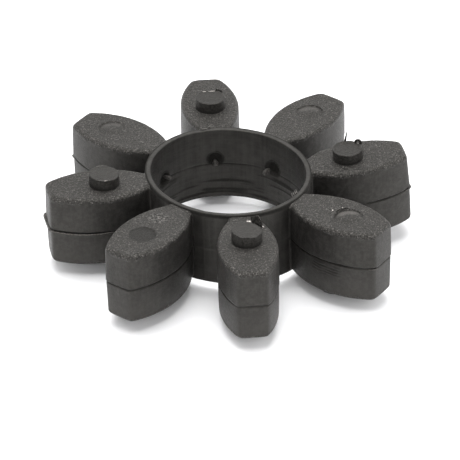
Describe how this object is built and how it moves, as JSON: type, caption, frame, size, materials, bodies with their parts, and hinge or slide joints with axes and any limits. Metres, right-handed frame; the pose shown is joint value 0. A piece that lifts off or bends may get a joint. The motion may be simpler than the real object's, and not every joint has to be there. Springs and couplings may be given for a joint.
{
  "type": "jaw coupling spider",
  "caption": "Elastomer spider for a curved-jaw shaft coupling: a thin ring carrying crowned cushion lobes, with small spacer pips that hold the hub faces apart.",
  "frame": {"origin": "centre of the bore on the mid plane of the ring, which is the mould's parting plane", "axes": "+Z along the bore axis, towards the face whose pips are on the lobes that lie on X and Y; +X through the middle of a lobe"},
  "size_m": [0.095, 0.095, 0.026],
  "materials": {
    "ring_rubber": "smooth moulded, slightly satin, fine tool lines",
    "lobe_rubber": "matt, spark-eroded grain on the flat faces",
    "pip_rubber": "matt, smooth, fine glints on the rim"
  },
  "bodies": {
    "root": {"ring": "ring_rubber", "lobe_e": "lobe_rubber", "top_pip_e": "pip_rubber", "lobe_ne": "lobe_rubber", "bottom_pip_ne": "pip_rubber", "lobe_n": "lobe_rubber", "top_pip_n": "pip_rubber", "lobe_nw": "lobe_rubber", "bottom_pip_nw": "pip_rubber", "lobe_w": "lobe_rubber", "top_pip_w": "pip_rubber", "lobe_sw": "lobe_rubber", "bottom_pip_sw": "pip_rubber", "lobe_s": "lobe_rubber", "top_pip_s": "pip_rubber", "lobe_se": "lobe_rubber", "bottom_pip_se": "pip_rubber"}
  },
  "joints": []
}
